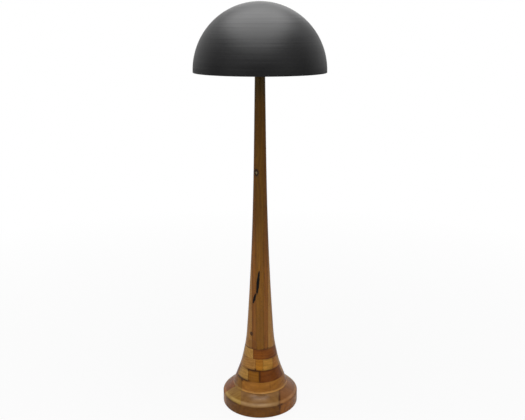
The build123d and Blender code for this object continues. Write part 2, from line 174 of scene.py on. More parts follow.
def clamped_spline(stations, first_slope, last_slope):
    """Smooth curve of radius over height through the stations, with given end slopes, as a function."""
    z = np.array([station[0] for station in stations])
    r = np.array([station[1] for station in stations])
    gap = np.diff(z)
    slope = np.diff(r) / gap
    count = len(z)
    system = np.eye(count)
    wanted = np.zeros(count)
    wanted[0], wanted[-1] = first_slope, last_slope
    for i in range(1, count - 1):
        system[i, i - 1:i + 2] = gap[i], 2 * (gap[i - 1] + gap[i]), gap[i - 1]
        wanted[i] = 3 * (gap[i] * slope[i - 1] + gap[i - 1] * slope[i])
    tangent = np.linalg.solve(system, wanted)

    def radius(height):
        i = int(np.clip(np.searchsorted(z, height) - 1, 0, count - 2))
        t = (height - z[i]) / gap[i]
        start = (1 + 2 * t) * (1 - t) ** 2 * r[i] + t * (1 - t) ** 2 * gap[i] * tangent[i]
        end = t * t * (3 - 2 * t) * r[i + 1] + t * t * (t - 1) * gap[i] * tangent[i + 1]
        return float(start + end)

    return radius


flare_radius = clamped_spline(FLARE_STATIONS, FLARE_FOOT_SLOPE, SHAFT_TOP_SLOPE)


def flare_outline(low, high, spacing):
    """Outline of the flare and shaft between two heights, from the bottom up."""
    steps = max(2, round((high - low) / spacing))
    heights = [low + (high - low) * step / steps for step in range(steps + 1)]
    return [(flare_radius(height), height) for height in heights]


def foot_outline():
    """Outline of the foot from the underside to the flare, with its softened arris."""
    bottom_centre = (FOOT_RADIUS - FOOT_BOTTOM_ROUND, PAD_THICKNESS + FOOT_BOTTOM_ROUND)
    bottom = arc(bottom_centre, FOOT_BOTTOM_ROUND, -90, 0, 6)
    edge_radius, edge_height = SHOULDER_EDGE
    start, end = ARRIS_ANGLES
    centre = (edge_radius - ARRIS_ROUND * cos(radians(end)), edge_height - ARRIS_ROUND * sin(radians(end)))
    arris = arc(centre, ARRIS_ROUND, start, end, 8)
    inward = FOOT_RADIUS - arris[0][0]
    drop = arris[0][1] - SIDE_TOP
    lean_radius = (inward * inward + drop * drop) / (2 * inward)
    reach = degrees(asin(min(1.0, drop / lean_radius)))
    side = arc((FOOT_RADIUS - lean_radius, SIDE_TOP), lean_radius, 0, reach, 6)
    spring = (SHOULDER_RADIUS - QUIRK / 2, SHOULDER_TOP - QUIRK)
    shoulder = []
    for step in range(1, SHOULDER_STEPS + 1):
        t = step / SHOULDER_STEPS
        crown = 4 * t * (1 - t) * SHOULDER_CROWN
        shoulder.append((edge_radius + (spring[0] - edge_radius) * t + CROWN_DIRECTION[0] * crown,
                         edge_height + (spring[1] - edge_height) * t + CROWN_DIRECTION[1] * crown))
    quirk = [(SHOULDER_RADIUS - QUIRK, SHOULDER_TOP - QUIRK), (SHOULDER_RADIUS, SHOULDER_TOP)]
    return bottom + side + arris[1:] + shoulder + quirk + list(LIP)


def slice_outline(outline, low, high):
    """Part of an outline between two heights, with a point on each."""
    inside = [point for point in outline if low + TINY < point[1] < high - TINY]
    ends = []
    for height in (low, high):
        for (r0, z0), (r1, z1) in zip(outline, outline[1:]):
            if min(z0, z1) - TINY <= height <= max(z0, z1) + TINY and abs(z1 - z0) > TINY:
                ends.append((r0 + (r1 - r0) * (height - z0) / (z1 - z0), height))
                break
    return [ends[0]] + inside + [ends[1]]


def ring_of(outline):
    """Solid of the stem's part with this outside and the pipe's bore inside."""
    low, high = outline[0][1], outline[-1][1]
    return outline + [(BORE_RADIUS, high), (BORE_RADIUS, low)]


def cut_away(bm, place, outward):
    """Cut a closed bmesh by a plane, drop what lies outward, and close the cut."""
    geometry = bm.verts[:] + bm.edges[:] + bm.faces[:]
    result = bmesh.ops.bisect_plane(
        bm, geom=geometry, dist=WELD / 10, plane_co=place, plane_no=outward, clear_outer=True)
    rim = [item for item in result["geom_cut"] if isinstance(item, bmesh.types.BMEdge)]
    if rim:
        bmesh.ops.triangle_fill(bm, edges=rim, use_beauty=False, use_dissolve=False)


def wood_blocks(ring_points, cells):
    """Blocks of one turned ring: for each cell (x low, x high, y low, y high) its closed bmesh."""
    whole = turn(ring_points)
    blocks = []
    for x_low, x_high, y_low, y_high in cells:
        block = whole.copy()
        for place, outward in (((x_low, 0, 0), (-1, 0, 0)), ((x_high, 0, 0), (1, 0, 0)),
                               ((0, y_low, 0), (0, -1, 0)), ((0, y_high, 0), (0, 1, 0))):
            if max(abs(value) for value in place) < FAR:
                cut_away(block, place, outward)
        if block.faces:
            blocks.append(((x_low, x_high, y_low, y_high), block))
    whole.free()
    return blocks


def layout_cells(row_edges, row_joints):
    """Cells of one course of blocks, front row first, each row from left to right."""
    cells = []
    y_edges = (-FAR,) + row_edges + (FAR,)
    for y_low, y_high, joints in zip(y_edges, y_edges[1:], row_joints):
        x_edges = (-FAR,) + joints + (FAR,)
        cells += [(x_low, x_high, y_low, y_high) for x_low, x_high in zip(x_edges, x_edges[1:])]
    return cells


# ------------------------------------------------------------------ wood: grain and tone

TONES = {
    "straw": "#bd8f4a",
    "wheat": "#b98c49",
    "tan": "#b17f40",
    "honey": "#b17624",
    "amber": "#ba873a",
    "caramel": "#b37632",
    "olive": "#906426",
    "khaki": "#9b7536",
    "grey_tan": "#90693b",
    "chestnut": "#a66f2e",
    "toffee": "#925f1a",
    "red_brown": "#8c5a2c",
    "russet": "#9b6022",
    "deep_russet": "#925c22",
    "deep_toffee": "#8a5c1b",
    "walnut": "#854a0e",
    "umber": "#774b12",
    "dark": "#784111",
}

# tones of the front row of each course from left to right, as the lamp shows them
FRONT_TONES = (
    ("umber", "umber", "russet"),
    ("khaki", "grey_tan", "red_brown"),
    ("olive", "chestnut", "chestnut"),
    ("wheat", "toffee", "dark"),
    ("tan", "honey", "amber", "caramel"),
    ("straw", "walnut"),
)
OTHER_TONES = ("olive", "tan", "honey", "chestnut", "walnut", "red_brown", "wheat", "amber", "russet",
               "toffee")
SHAFT_BOARDS = (("left_edge", "tan"), ("left", "deep_russet"), ("centre", "deep_toffee"),
                ("right", "deep_russet"), ("right_edge", "tan"))

# where in its log a block was cut: mm along the log, and mm from its pith in two directions
LOG_REACH = (-900, 900)
PITH_REACH = (30, 120)
SIDE_REACH = (-90, 90)
BOARD_REACH = (30, 90)

# turns a place on the lamp so that the first axis runs along the grain
GRAIN_AXES = {"x": Matrix(((1, 0, 0), (0, 1, 0), (0, 0, 1))),
              "y": Matrix(((0, 1, 0), (-1, 0, 0), (0, 0, 1))),
              "z": Matrix(((0, 0, 1), (1, 0, 0), (0, 1, 0)))}


def join_blocks(blocks):
    """One bmesh of all blocks, and for each block the range of its points in it."""
    whole = bmesh.new()
    ranges = []
    for block in blocks:
        temporary = bpy.data.meshes.new("block")
        bmesh.ops.recalc_face_normals(block, faces=block.faces)
        block.to_mesh(temporary)
        block.free()
        start = len(whole.verts)
        whole.from_mesh(temporary)
        bpy.data.meshes.remove(temporary)
        ranges.append((start, len(whole.verts)))
    return whole, ranges


def wood_piece(name, blocks, material, low, high):
    """Join blocks into one piece and write each block's grain space, tone and joints on its points.

    blocks holds (cell, bmesh, tone, grain axis, offset of the grain) for each block."""
    whole, ranges = join_blocks([block for _, block, _, _, _ in blocks])
    mesh = make_piece(name, whole, material, "lamp", replaced=name, sharp=30.0).data
    count = len(mesh.vertices)
    points = np.empty(count * 3)
    mesh.vertices.foreach_get("co", points)
    points = points.reshape(-1, 3) / MM
    space = np.zeros((count, 3))
    tones = np.zeros((count, 4))
    to_low = np.zeros((count, 3))
    to_high = np.zeros((count, 3))
    for (start, end), (cell, _, tone, axis, offset) in zip(ranges, blocks):
        own = points[start:end]
        space[start:end] = own @ np.array(GRAIN_AXES[axis]).T + np.array(offset)
        tones[start:end] = linear(TONES[tone])
        to_low[start:end] = own - np.array((cell[0], cell[2], low))
        to_high[start:end] = np.array((cell[1], cell[3], high)) - own
    for label, kind, key, values in (("grain_space", "FLOAT_VECTOR", "vector", space),
                                     ("tone", "FLOAT_COLOR", "color", tones),
                                     ("joint_low", "FLOAT_VECTOR", "vector", to_low),
                                     ("joint_high", "FLOAT_VECTOR", "vector", to_high)):
        attribute = mesh.attributes.new(label, kind, "POINT")
        attribute.data.foreach_set(key, values.astype(np.float32).ravel())


# ------------------------------------------------------------------ wood: material

# widths of the grain's patterns in mm, and how fast each changes per mm along the grain
RING_SPACING = 5.5                  # growth rings, drawn a little coarse so that they show
FIBRE_WIDTH = 1.3
FIBRE_ALONG = 0.03
STREAK_WIDTH = 16.0                 # heartwood streaks
STREAK_ALONG = 0.004
PORE_WIDTH = 0.5
PORE_ALONG = 0.14
GRAIN_WANDER = 26.0                 # mm, the width within which the grain strays
WANDER_SCALE = (0.003, 0.018, 0.018)    # per mm along and across the grain
RING_SHARE = 0.17                   # shares of the rings, fibres and streaks in the figure
FIBRE_SHARE = 0.45
STREAK_SHARE = 0.75

# what the figure, the darker heartwood with painted shade up the shaft, and the painted highlights on the
# turned edges do to a block's tone
FIGURE_DARK = (0.6, 0.5, 0.38, 1.0)
FIGURE_LIGHT = (1.22, 1.2, 1.1, 1.0)
# darker heartwood up the shaft, partly painted shade of the dome
HEARTWOOD_AND_SHADE = (0.5, 0.8, 0.75, (0.5, 0.55, 0.5, 1.0))     # heights in metres, share, tint
PAINTED_SHADE_UNDER_DOME = (1.15, 1.26, 1.0, (0.6, 0.78, 1.0, 1.0))       # the same for the painted shade that the dome casts on the shaft's top
# tint of the painted highlights along the turned edges
EDGE_HIGHLIGHT_TINT = (1.7, 2.0, 2.8, 1.0)
PORE_COLOUR = "#2c1706"
GLUE_COLOUR = "#2a1405"
STAIN_COLOUR = "#3c1d07"

GLUE_LINE = (1.1, 0.25)             # mm from a joint where its dark line starts and is full
GLUE_SOAK = (6.5, 1.0)              # the same for glue that soaked in
GLUE_PATCH = 38.0                   # mm across the stretches where a joint shows more or less
HIGHLIGHT_PATCH = 45.0                   # mm across the patches that break up a painted edge highlight
MARK_RAG = 7.0                      # mm across the ragged parts of a mark's edge
FRONT_FADE = 4.0                    # mm in which a mark on the front fades out at the stem's middle plane

# knots and filled shakes on the shaft's front: centre x and z, half width and height, lean, push of the
# grain, colour, and how much of it covers the wood
SHAFT_MARKS = (
    (-8.0, 508.0, 5.6, 50.0, 0.10, 3.0, "#0c0501", 1.0),
    (-21.5, 446.0, 4.6, 22.0, 0.25, 2.0, "#0d0502", 1.0),
    (-13.0, 928.0, 9.0, 15.0, 0.0, 9.0, "#241405", 0.85),
    (-13.0, 927.0, 3.2, 5.0, 0.0, 0.0, "#94825a", 0.9),
    (-33.0, 302.0, 6.0, 9.0, 0.0, 5.0, "#2e1706", 0.8),
    (-31.0, 262.0, 20.0, 18.0, 0.0, 4.0, "#6b3f16", 0.4),
)
# places on the front where glue darkened a joint: centre x and z, half width and height, how dark
SHAFT_STAINS = (
    (-38.0, 243.0, 34.0, 9.0, 0.7),
    (30.0, 243.0, 40.0, 9.0, 0.7),
)
BLOCK_STAINS = (
    (-28.0, 163.0, 36.0, 12.0, 0.95),
    (30.0, 163.0, 40.0, 10.0, 0.6),
    (-66.0, 122.0, 34.0, 12.0, 0.9),
    (-2.0, 143.0, 14.0, 26.0, 0.8),
    (76.0, 52.0, 14.0, 34.0, 0.8),
    (-108.0, 48.0, 26.0, 12.0, 0.6),
    (45.0, 206.0, 30.0, 10.0, 0.4),
)
# turned edges with a painted highlight along them: radius, height, width, how bright
PAINTED_EDGE_HIGHLIGHTS = (
    (SHOULDER_EDGE[0] - 2.0, SHOULDER_EDGE[1] + 1.0, 8.0, 0.9),
    (SHOULDER_RADIUS - 1.0, SHOULDER_TOP + 2.5, 6.0, 0.7),
)


def mark_fields(tree, place, split, front, marks):
    """Where each mark lies: its mask, its nearness for the grain, the grain's push and its colour."""
    fields = []
    ragged = add(tree, "TexNoise", {"Vector": place, "Scale": 1 / (MARK_RAG * MM), "Detail": 3.0})
    for centre_x, centre_z, half_width, half_height, lean, push, colour, cover in marks:
        rise = add(tree, "Math", {0: split.outputs["Z"], 1: centre_z * MM}, operation="SUBTRACT")
        shift = add(tree, "Math", {0: rise.outputs[0], 1: lean, 2: centre_x * MM}, operation="MULTIPLY_ADD")
        across = add(tree, "Math", {0: split.outputs["X"], 1: shift.outputs[0]}, operation="SUBTRACT")
        flat_x = add(tree, "Math", {0: across.outputs[0], 1: half_width * MM}, operation="DIVIDE")
        flat_z = add(tree, "Math", {0: rise.outputs[0], 1: half_height * MM}, operation="DIVIDE")
        both = add(tree, "CombineXYZ", {"X": flat_x.outputs[0], "Y": flat_z.outputs[0]})
        size = add(tree, "VectorMath", {0: both.outputs[0]}, operation="LENGTH")
        edge = add(tree, "Math", {0: ragged.outputs["Fac"], 1: -0.7, 2: size.outputs["Value"]},
                   operation="MULTIPLY_ADD")
        fill = add(tree, "MapRange", {"Value": edge.outputs[0], "From Min": 0.72, "From Max": 0.5})
        whole = add(tree, "Math", {0: fill.outputs[0], 1: front}, operation="MULTIPLY")
        mask = add(tree, "Math", {0: whole.outputs[0], 1: cover}, operation="MULTIPLY")
        sway = add(tree, "MapRange", {"Value": size.outputs["Value"], "From Min": 4.0, "From Max": 0.0})
        near = add(tree, "Math", {0: sway.outputs[0], 1: front}, operation="MULTIPLY")
        fields.append((mask.outputs[0], near.outputs[0], push, colour))
    return fields


def grain(tree, fields):
    """Grain of a block, bent round its marks: the figure, the fibres and the mask of the pores."""
    space = add(tree, "Attribute", attribute_name="grain_space").outputs["Vector"]
    for _, near, push, _ in fields:
        bend = add(tree, "Math", {0: near, 1: push}, operation="MULTIPLY")
        aside = add(tree, "CombineXYZ", {"Y": bend.outputs[0], "Z": bend.outputs[0]})
        space = add(tree, "VectorMath", {0: space, 1: aside.outputs[0]}, operation="ADD").outputs[0]
    slow = add(tree, "VectorMath", {0: space, 1: WANDER_SCALE}, operation="MULTIPLY")
    drift = add(tree, "TexNoise", {"Vector": slow.outputs[0], "Scale": 1.0, "Detail": 2.0})
    centred = add(tree, "VectorMath", {0: drift.outputs["Color"], 1: (0.5, 0.5, 0.5)}, operation="SUBTRACT")
    spread = add(tree, "VectorMath", {0: centred.outputs[0], 1: (0.0, GRAIN_WANDER, GRAIN_WANDER)},
                 operation="MULTIPLY")
    warped = add(tree, "VectorMath", {0: space, 1: spread.outputs[0]}, operation="ADD").outputs[0]

    from_pith = add(tree, "VectorMath", {0: warped, 1: (0.0, 1.0, 1.0)}, operation="MULTIPLY")
    distance = add(tree, "VectorMath", {0: from_pith.outputs[0]}, operation="LENGTH")
    phase = add(tree, "Math", {0: distance.outputs["Value"], 1: RING_SPACING}, operation="DIVIDE")
    ring = add(tree, "Math", {0: phase.outputs[0], 1: 1.0}, operation="PINGPONG")

    noises = []
    for start, along, width, settings in (
            (warped, FIBRE_ALONG, FIBRE_WIDTH, {"Detail": 4.0, "Roughness": 0.6}),
            (warped, STREAK_ALONG, STREAK_WIDTH, {"Detail": 3.0}),
            (space, PORE_ALONG, PORE_WIDTH, {"Detail": 1.0})):
        stretched = add(tree, "VectorMath", {0: start, 1: (along, 1 / width, 1 / width)},
                        operation="MULTIPLY")
        noise = add(tree, "TexNoise", {"Vector": stretched.outputs[0], "Scale": 1.0, **settings})
        noises.append(noise.outputs["Fac"])
    fibre, streak, pore = noises
    pores = add(tree, "MapRange", {"Value": pore, "From Min": 0.64, "From Max": 0.72}).outputs[0]

    figure = add(tree, "Math", {0: ring.outputs[0], 1: RING_SHARE}, operation="MULTIPLY").outputs[0]
    for noise, share in ((fibre, FIBRE_SHARE), (streak, STREAK_SHARE)):
        figure = add(tree, "Math", {0: noise, 1: share, 2: figure}, operation="MULTIPLY_ADD").outputs[0]
    return figure, fibre, pores


def joint_distance(tree):
    """Millimetres from a place to the nearest glued joint of its own block."""
    sides = []
    for label in ("joint_low", "joint_high"):
        vector = add(tree, "Attribute", attribute_name=label).outputs["Vector"]
        sides += add(tree, "SeparateXYZ", {"Vector": vector}).outputs[:]
    nearest = sides[0]
    for side in sides[1:]:
        nearest = add(tree, "Math", {0: nearest, 1: side}, operation="MINIMUM").outputs[0]
    return nearest


def stain_joints(tree, colour, place, front, nearest, stains):
    """Darken joints: thin glue lines everywhere, and glue that soaked in where stains says."""
    patches = add(tree, "TexNoise", {"Vector": place, "Scale": 1 / (GLUE_PATCH * MM), "Detail": 1.0})
    squeeze = add(tree, "MapRange", {"Value": patches.outputs["Fac"], "From Min": 0.4, "From Max": 0.62,
                                     "To Min": 0.25, "To Max": 0.85})
    line = add(tree, "MapRange", {"Value": nearest, "From Min": GLUE_LINE[0], "From Max": GLUE_LINE[1]})
    glue = add(tree, "Math", {0: line.outputs[0], 1: squeeze.outputs[0]}, operation="MULTIPLY")
    colour = add(tree, "Mix", {"Factor": glue.outputs[0], "A": colour, "B": linear(GLUE_COLOUR)},
                 data_type="RGBA").outputs["Result"]
    soak = add(tree, "MapRange", {"Value": nearest, "From Min": GLUE_SOAK[0], "From Max": GLUE_SOAK[1]})
    for centre_x, centre_z, half_width, half_height, strength in stains:
        offset = add(tree, "VectorMath", {0: place, 1: (centre_x * MM, 0.0, centre_z * MM)},
                     operation="SUBTRACT")
        shrink = (1 / (half_width * MM), 0.0, 1 / (half_height * MM))
        scaled = add(tree, "VectorMath", {0: offset.outputs[0], 1: shrink}, operation="MULTIPLY")
        size = add(tree, "VectorMath", {0: scaled.outputs[0]}, operation="LENGTH")
        zone = add(tree, "MapRange", {"Value": size.outputs["Value"], "From Min": 1.0, "From Max": 0.5,
                                      "To Max": strength})
        both = add(tree, "Math", {0: zone.outputs[0], 1: soak.outputs[0]}, operation="MULTIPLY")
        stain = add(tree, "Math", {0: both.outputs[0], 1: front}, operation="MULTIPLY")
        colour = add(tree, "Mix", {"Factor": stain.outputs[0], "A": colour, "B": linear(STAIN_COLOUR)},
                     data_type="RGBA").outputs["Result"]
    return colour


def paint_edge_highlights(tree, colour, tone, place, split, edges):
    """Paint highlights along the turned edges, in patches."""
    flat = add(tree, "VectorMath", {0: place, 1: (1.0, 1.0, 0.0)}, operation="MULTIPLY")
    radius = add(tree, "VectorMath", {0: flat.outputs[0]}, operation="LENGTH")
    section = add(tree, "CombineXYZ", {"X": radius.outputs["Value"], "Z": split.outputs["Z"]})
    highlight_breakup = add(tree, "TexNoise", {"Vector": place, "Scale": 1 / (HIGHLIGHT_PATCH * MM), "Detail": 3.0})
    highlight_patches = add(tree, "MapRange", {"Value": highlight_breakup.outputs["Fac"], "From Min": 0.35, "From Max": 0.55,
                                  "To Min": 0.4, "To Max": 1.0})
    pale = add(tree, "Mix", {"Factor": 1.0, "A": tone, "B": EDGE_HIGHLIGHT_TINT}, data_type="RGBA", blend_type="MULTIPLY")
    for edge_radius, edge_height, width, strength in edges:
        away = add(tree, "VectorMath", {0: section.outputs[0], 1: (edge_radius * MM, 0.0, edge_height * MM)},
                   operation="DISTANCE")
        near = add(tree, "MapRange", {"Value": away.outputs["Value"], "From Min": width * MM,
                                      "From Max": 0.3 * width * MM, "To Max": strength})
        highlight_mask = add(tree, "Math", {0: near.outputs[0], 1: highlight_patches.outputs[0]}, operation="MULTIPLY")
        colour = add(tree, "Mix", {"Factor": highlight_mask.outputs[0], "A": colour, "B": pale.outputs["Result"]},
                     data_type="RGBA").outputs["Result"]
    return colour


def oiled_wood(name, marks=(), stains=(), edges=()):
    """Acacia, sanded and oiled: satin, with fine fibre lines, soft growth rings and darker streaks."""
    material, tree = new_material(name)
    tone = add(tree, "Attribute", attribute_name="tone").outputs["Color"]
    place = add(tree, "TexCoord").outputs["Object"]
    split = add(tree, "SeparateXYZ", {"Vector": place})
    front = add(tree, "MapRange", {"Value": split.outputs["Y"], "From Min": 0.0,
                                   "From Max": -FRONT_FADE * MM}).outputs[0]
    fields = mark_fields(tree, place, split, front, marks)
    figure, fibre, pores = grain(tree, fields)

    depth = add(tree, "MapRange", {"Value": figure, "From Min": 0.42, "From Max": 1.05})
    lighter = add(tree, "Mix", {"Factor": 1.0, "A": tone, "B": FIGURE_LIGHT}, data_type="RGBA",
                  blend_type="MULTIPLY")
    darker = add(tree, "Mix", {"Factor": 1.0, "A": tone, "B": FIGURE_DARK}, data_type="RGBA",
                 blend_type="MULTIPLY")
    colour = add(tree, "Mix", {"Factor": depth.outputs[0], "A": lighter.outputs["Result"],
                               "B": darker.outputs["Result"]}, data_type="RGBA").outputs["Result"]
    # darker towards the shaft's top by height: heartwood that is partly painted shade, then painted shade
    # under the dome
    for low, high, share, tint in (HEARTWOOD_AND_SHADE, PAINTED_SHADE_UNDER_DOME):
        zone = add(tree, "MapRange", {"Value": split.outputs["Z"], "From Min": low, "From Max": high,
                                      "To Max": share}, interpolation_type="SMOOTHSTEP")
        colour = add(tree, "Mix", {"Factor": zone.outputs[0], "A": colour, "B": tint}, data_type="RGBA",
                     blend_type="MULTIPLY").outputs["Result"]
    colour = add(tree, "Mix", {"Factor": pores, "A": colour, "B": linear(PORE_COLOUR)},
                 data_type="RGBA").outputs["Result"]
    colour = stain_joints(tree, colour, place, front, joint_distance(tree), stains)

    rough = add(tree, "MapRange", {"Value": fibre, "To Min": 0.2, "To Max": 0.32}).outputs[0]
    for mask, _, _, fill_colour in fields:
        colour = add(tree, "Mix", {"Factor": mask, "A": colour, "B": linear(fill_colour)},
                     data_type="RGBA").outputs["Result"]
        rough = add(tree, "Mix", {"Factor": mask, "A": rough, "B": 0.8}).outputs["Result"]
    # painted highlights along the turned edges
    if edges:
        colour = paint_edge_highlights(tree, colour, tone, place, split, edges)
    relief = add(tree, "Math", {0: pores, 1: -1.0, 2: fibre}, operation="MULTIPLY_ADD")
    bump = add(tree, "Bump", {"Height": relief.outputs[0], "Strength": 0.12, "Distance": 0.3 * MM})
    finish_material(tree, {"Base Color": colour, "Roughness": rough, "Normal": bump.outputs[0],
                           "Specular IOR Level": 0.24, "IOR": 1.5})
    return material


def make_courses(rng):
    """The six courses of blocks: the front row's tones are chosen, the others are drawn."""
    material = oiled_wood("oiled_acacia_blocks", stains=BLOCK_STAINS, edges=PAINTED_EDGE_HIGHLIGHTS)
    outline = foot_outline() + flare_outline(LIP[-1][1], COURSES_TOP, FLARE_SPACING)[1:]
    high = PAD_THICKNESS
    for number, (height, (row_edges, row_joints)) in enumerate(zip(COURSE_HEIGHTS, BLOCK_LAYOUT)):
        low, high = high, high + height
        front_tones = FRONT_TONES[number]
        made = wood_blocks(ring_of(slice_outline(outline, low, high)), layout_cells(row_edges, row_joints))
        blocks = []
        for index, (cell, block) in enumerate(made):
            front = index < len(front_tones)
            tone = front_tones[index] if front else rng.choice(OTHER_TONES)
            axis = "x" if front else rng.choice("xxy")
            offset = (rng.uniform(*LOG_REACH), rng.choice((-1, 1)) * rng.uniform(*PITH_REACH),
                      rng.uniform(*SIDE_REACH))
            blocks.append((cell, block, tone, axis, offset))
        wood_piece(f"stem_course_{number + 1}", blocks, material, low, high)


def make_shaft(rng):
    """The shaft's five upright boards."""
    material = oiled_wood("oiled_acacia_shaft", SHAFT_MARKS, SHAFT_STAINS)
    shaft_ring = ring_of(flare_outline(COURSES_TOP, STEM_TOP, SHAFT_SPACING))
    cells = layout_cells((), (SHAFT_JOINTS,))
    for (name, tone), (cell, board) in zip(SHAFT_BOARDS, wood_blocks(shaft_ring, cells)):
        offset = (rng.uniform(*LOG_REACH), rng.uniform(*BOARD_REACH), rng.uniform(*BOARD_REACH))
        wood_piece(f"shaft_{name}_board", [(cell, board, tone, "z", offset)], material,
                   COURSES_TOP, STEM_TOP)


# ------------------------------------------------------------------ shade

SHADE_RADIUS = 236.0
SHADE_WALL = 1.2
EQUATOR = 1288.0                    # height of the dome's widest circle, where its straight lip starts
RIM = 1284.0                        # height of the shade's lowest edge
HEM_RADIUS = 1.8                    # of the edge rolled inward
HEM_CURL = -205                     # degrees that the edge is rolled
HEM_GAP = 1.2                       # between the rolled edge and the wall above it
SPIN_RING_SPACING = 15.0            # between the soft rings that spinning left
RING_DRIFT = 1.2                    # per metre: how fast a ring changes round the dome
PEBBLE = 0.9                        # grains of the coat, drawn a little coarse so that they show
CLOUD = 90.0                        # patches where the coat is thicker or thinner


def powder_coat():
    """Matt black powder coat on spun steel: a dull, slightly pebbled skin over soft rings of spinning."""
    material, tree = new_material("matt_black_powder_coat")
    place = add(tree, "TexCoord").outputs["Object"]
    pebble = add(tree, "TexNoise", {"Vector": place, "Scale": 1 / (PEBBLE * MM), "Detail": 2.0})
    split = add(tree, "SeparateXYZ", {"Vector": place})
    rise = add(tree, "Math", {0: split.outputs["Z"], 1: EQUATOR * MM}, operation="SUBTRACT")
    sine = add(tree, "Math", {0: rise.outputs[0], 1: SHADE_RADIUS * MM}, operation="DIVIDE")
    slope = add(tree, "Math", {0: sine.outputs[0]}, operation="ARCSINE")
    along = add(tree, "Math", {0: slope.outputs[0], 1: SHADE_RADIUS / SPIN_RING_SPACING},
                operation="MULTIPLY")
    drift = add(tree, "VectorMath", {0: place, 1: (RING_DRIFT, RING_DRIFT, 0.0)}, operation="MULTIPLY")
    height = add(tree, "CombineXYZ", {"Z": along.outputs[0]})
    banded = add(tree, "VectorMath", {0: drift.outputs[0], 1: height.outputs[0]}, operation="ADD")
    ring = add(tree, "TexNoise", {"Vector": banded.outputs[0], "Scale": 1.0, "Detail": 3.0, "Roughness": 0.6})
    cloud = add(tree, "TexNoise", {"Vector": place, "Scale": 1 / (CLOUD * MM), "Detail": 2.0})
    tint = add(tree, "Mix", {"Factor": cloud.outputs["Fac"], "A": linear("#0c0c0d"), "B": linear("#111112")},
               data_type="RGBA")
    rough = add(tree, "MapRange", {"Value": ring.outputs["Fac"], "To Min": 0.43, "To Max": 0.53})
    relief = add(tree, "Math", {0: pebble.outputs["Fac"], 1: 0.03, 2: ring.outputs["Fac"]},
                 operation="MULTIPLY_ADD")
    bump = add(tree, "Bump", {"Height": relief.outputs[0], "Strength": 1.0, "Distance": 0.85 * MM})
    finish_material(tree, {"Base Color": tint.outputs["Result"], "Roughness": rough.outputs[0],
                           "Normal": bump.outputs[0], "Specular IOR Level": 0.31})
    return material


def make_shade(coat):
    """Spun dome with its straight lip and rolled edge."""
    inner = SHADE_RADIUS - SHADE_WALL
    hem_centre = (SHADE_RADIUS - HEM_RADIUS, RIM + HEM_RADIUS)
    outside = arc((0, EQUATOR), SHADE_RADIUS, 90, 0, 48)
    roll = arc(hem_centre, HEM_RADIUS, 0, HEM_CURL, 12)
    inside = [(inner, hem_centre[1] + HEM_GAP)] + arc((0, EQUATOR), inner, 0, 90, 48)
    outside[0] = (0.0, outside[0][1])       # both ends lie on the axis
    inside[-1] = (0.0, inside[-1][1])
    dome = turn(outside + roll + inside, steps=DOME_STEPS, closed=False)
    make_piece("shade_dome", dome, coat, "shade", replaced="shade_dome", sharp=50.0)


# ------------------------------------------------------------------ small materials

def plain_metal(name, colour, rough_low, rough_high, grit, metallic=1.0):
    """Bare metal: a sheen broken up by a fine grit, whose grains are grit mm across."""
    material, tree = new_material(name)
    place = add(tree, "TexCoord").outputs["Object"]
    noise = add(tree, "TexNoise", {"Vector": place, "Scale": 1 / (grit * MM), "Detail": 3.0})
    rough = add(tree, "MapRange", {"Value": noise.outputs["Fac"], "To Min": rough_low, "To Max": rough_high})
    bump = add(tree, "Bump", {"Height": noise.outputs["Fac"], "Strength": 0.1, "Distance": 0.05 * MM})
    finish_material(tree, {"Base Color": linear(colour), "Metallic": metallic, "Roughness": rough.outputs[0],
                           "Normal": bump.outputs[0]})
    return material


def moulded(name, colour, rough_low, rough_high):
    """Moulded plastic, or a fired body: even in colour, with a faint mottle 1.2 mm across in its gloss."""
    material, tree = new_material(name)
    place = add(tree, "TexCoord").outputs["Object"]
    noise = add(tree, "TexNoise", {"Vector": place, "Scale": 1 / (1.2 * MM), "Detail": 3.0})
    rough = add(tree, "MapRange", {"Value": noise.outputs["Fac"], "To Min": rough_low, "To Max": rough_high})
    bump = add(tree, "Bump", {"Height": noise.outputs["Fac"], "Strength": 0.08, "Distance": 0.05 * MM})
    finish_material(tree, {"Base Color": linear(colour), "Roughness": rough.outputs[0],
                           "Normal": bump.outputs[0], "IOR": 1.5})
    return material


def felt():
    """Pressed wool felt: dull and rough, with fibres 0.8 mm across that lie every way."""
    material, tree = new_material("pressed_wool_felt")
    place = add(tree, "TexCoord").outputs["Object"]
    fibre = add(tree, "TexNoise", {"Vector": place, "Scale": 1 / (0.8 * MM), "Detail": 4.0,
                                   "Distortion": 1.5})
    tint = add(tree, "Mix", {"Factor": fibre.outputs["Fac"], "A": linear("#1d1c1a"), "B": linear("#38352f")},
               data_type="RGBA")
    bump = add(tree, "Bump", {"Height": fibre.outputs["Fac"], "Strength": 0.6, "Distance": 0.3 * MM})
    finish_material(tree, {"Base Color": tint.outputs["Result"], "Roughness": 0.95, "Normal": bump.outputs[0],
                           "Sheen Weight": 0.3})
    return material


def frosted_glass():
    """Bulb glass frosted inside: milky white under a smooth outside, a little uneven every 14 mm."""
    material, tree = new_material("frosted_bulb_glass")
    place = add(tree, "TexCoord").outputs["Object"]
    haze = add(tree, "TexNoise", {"Vector": place, "Scale": 1 / (14 * MM), "Detail": 1.0})
    tint = add(tree, "Mix", {"Factor": haze.outputs["Fac"], "A": linear("#eceae2"), "B": linear("#f4f2ec")},
               data_type="RGBA")
    finish_material(tree, {"Base Color": tint.outputs["Result"], "Roughness": 0.18, "IOR": 1.5,
                           "Subsurface Weight": 0.2, "Subsurface Scale": 4 * MM})
    return material


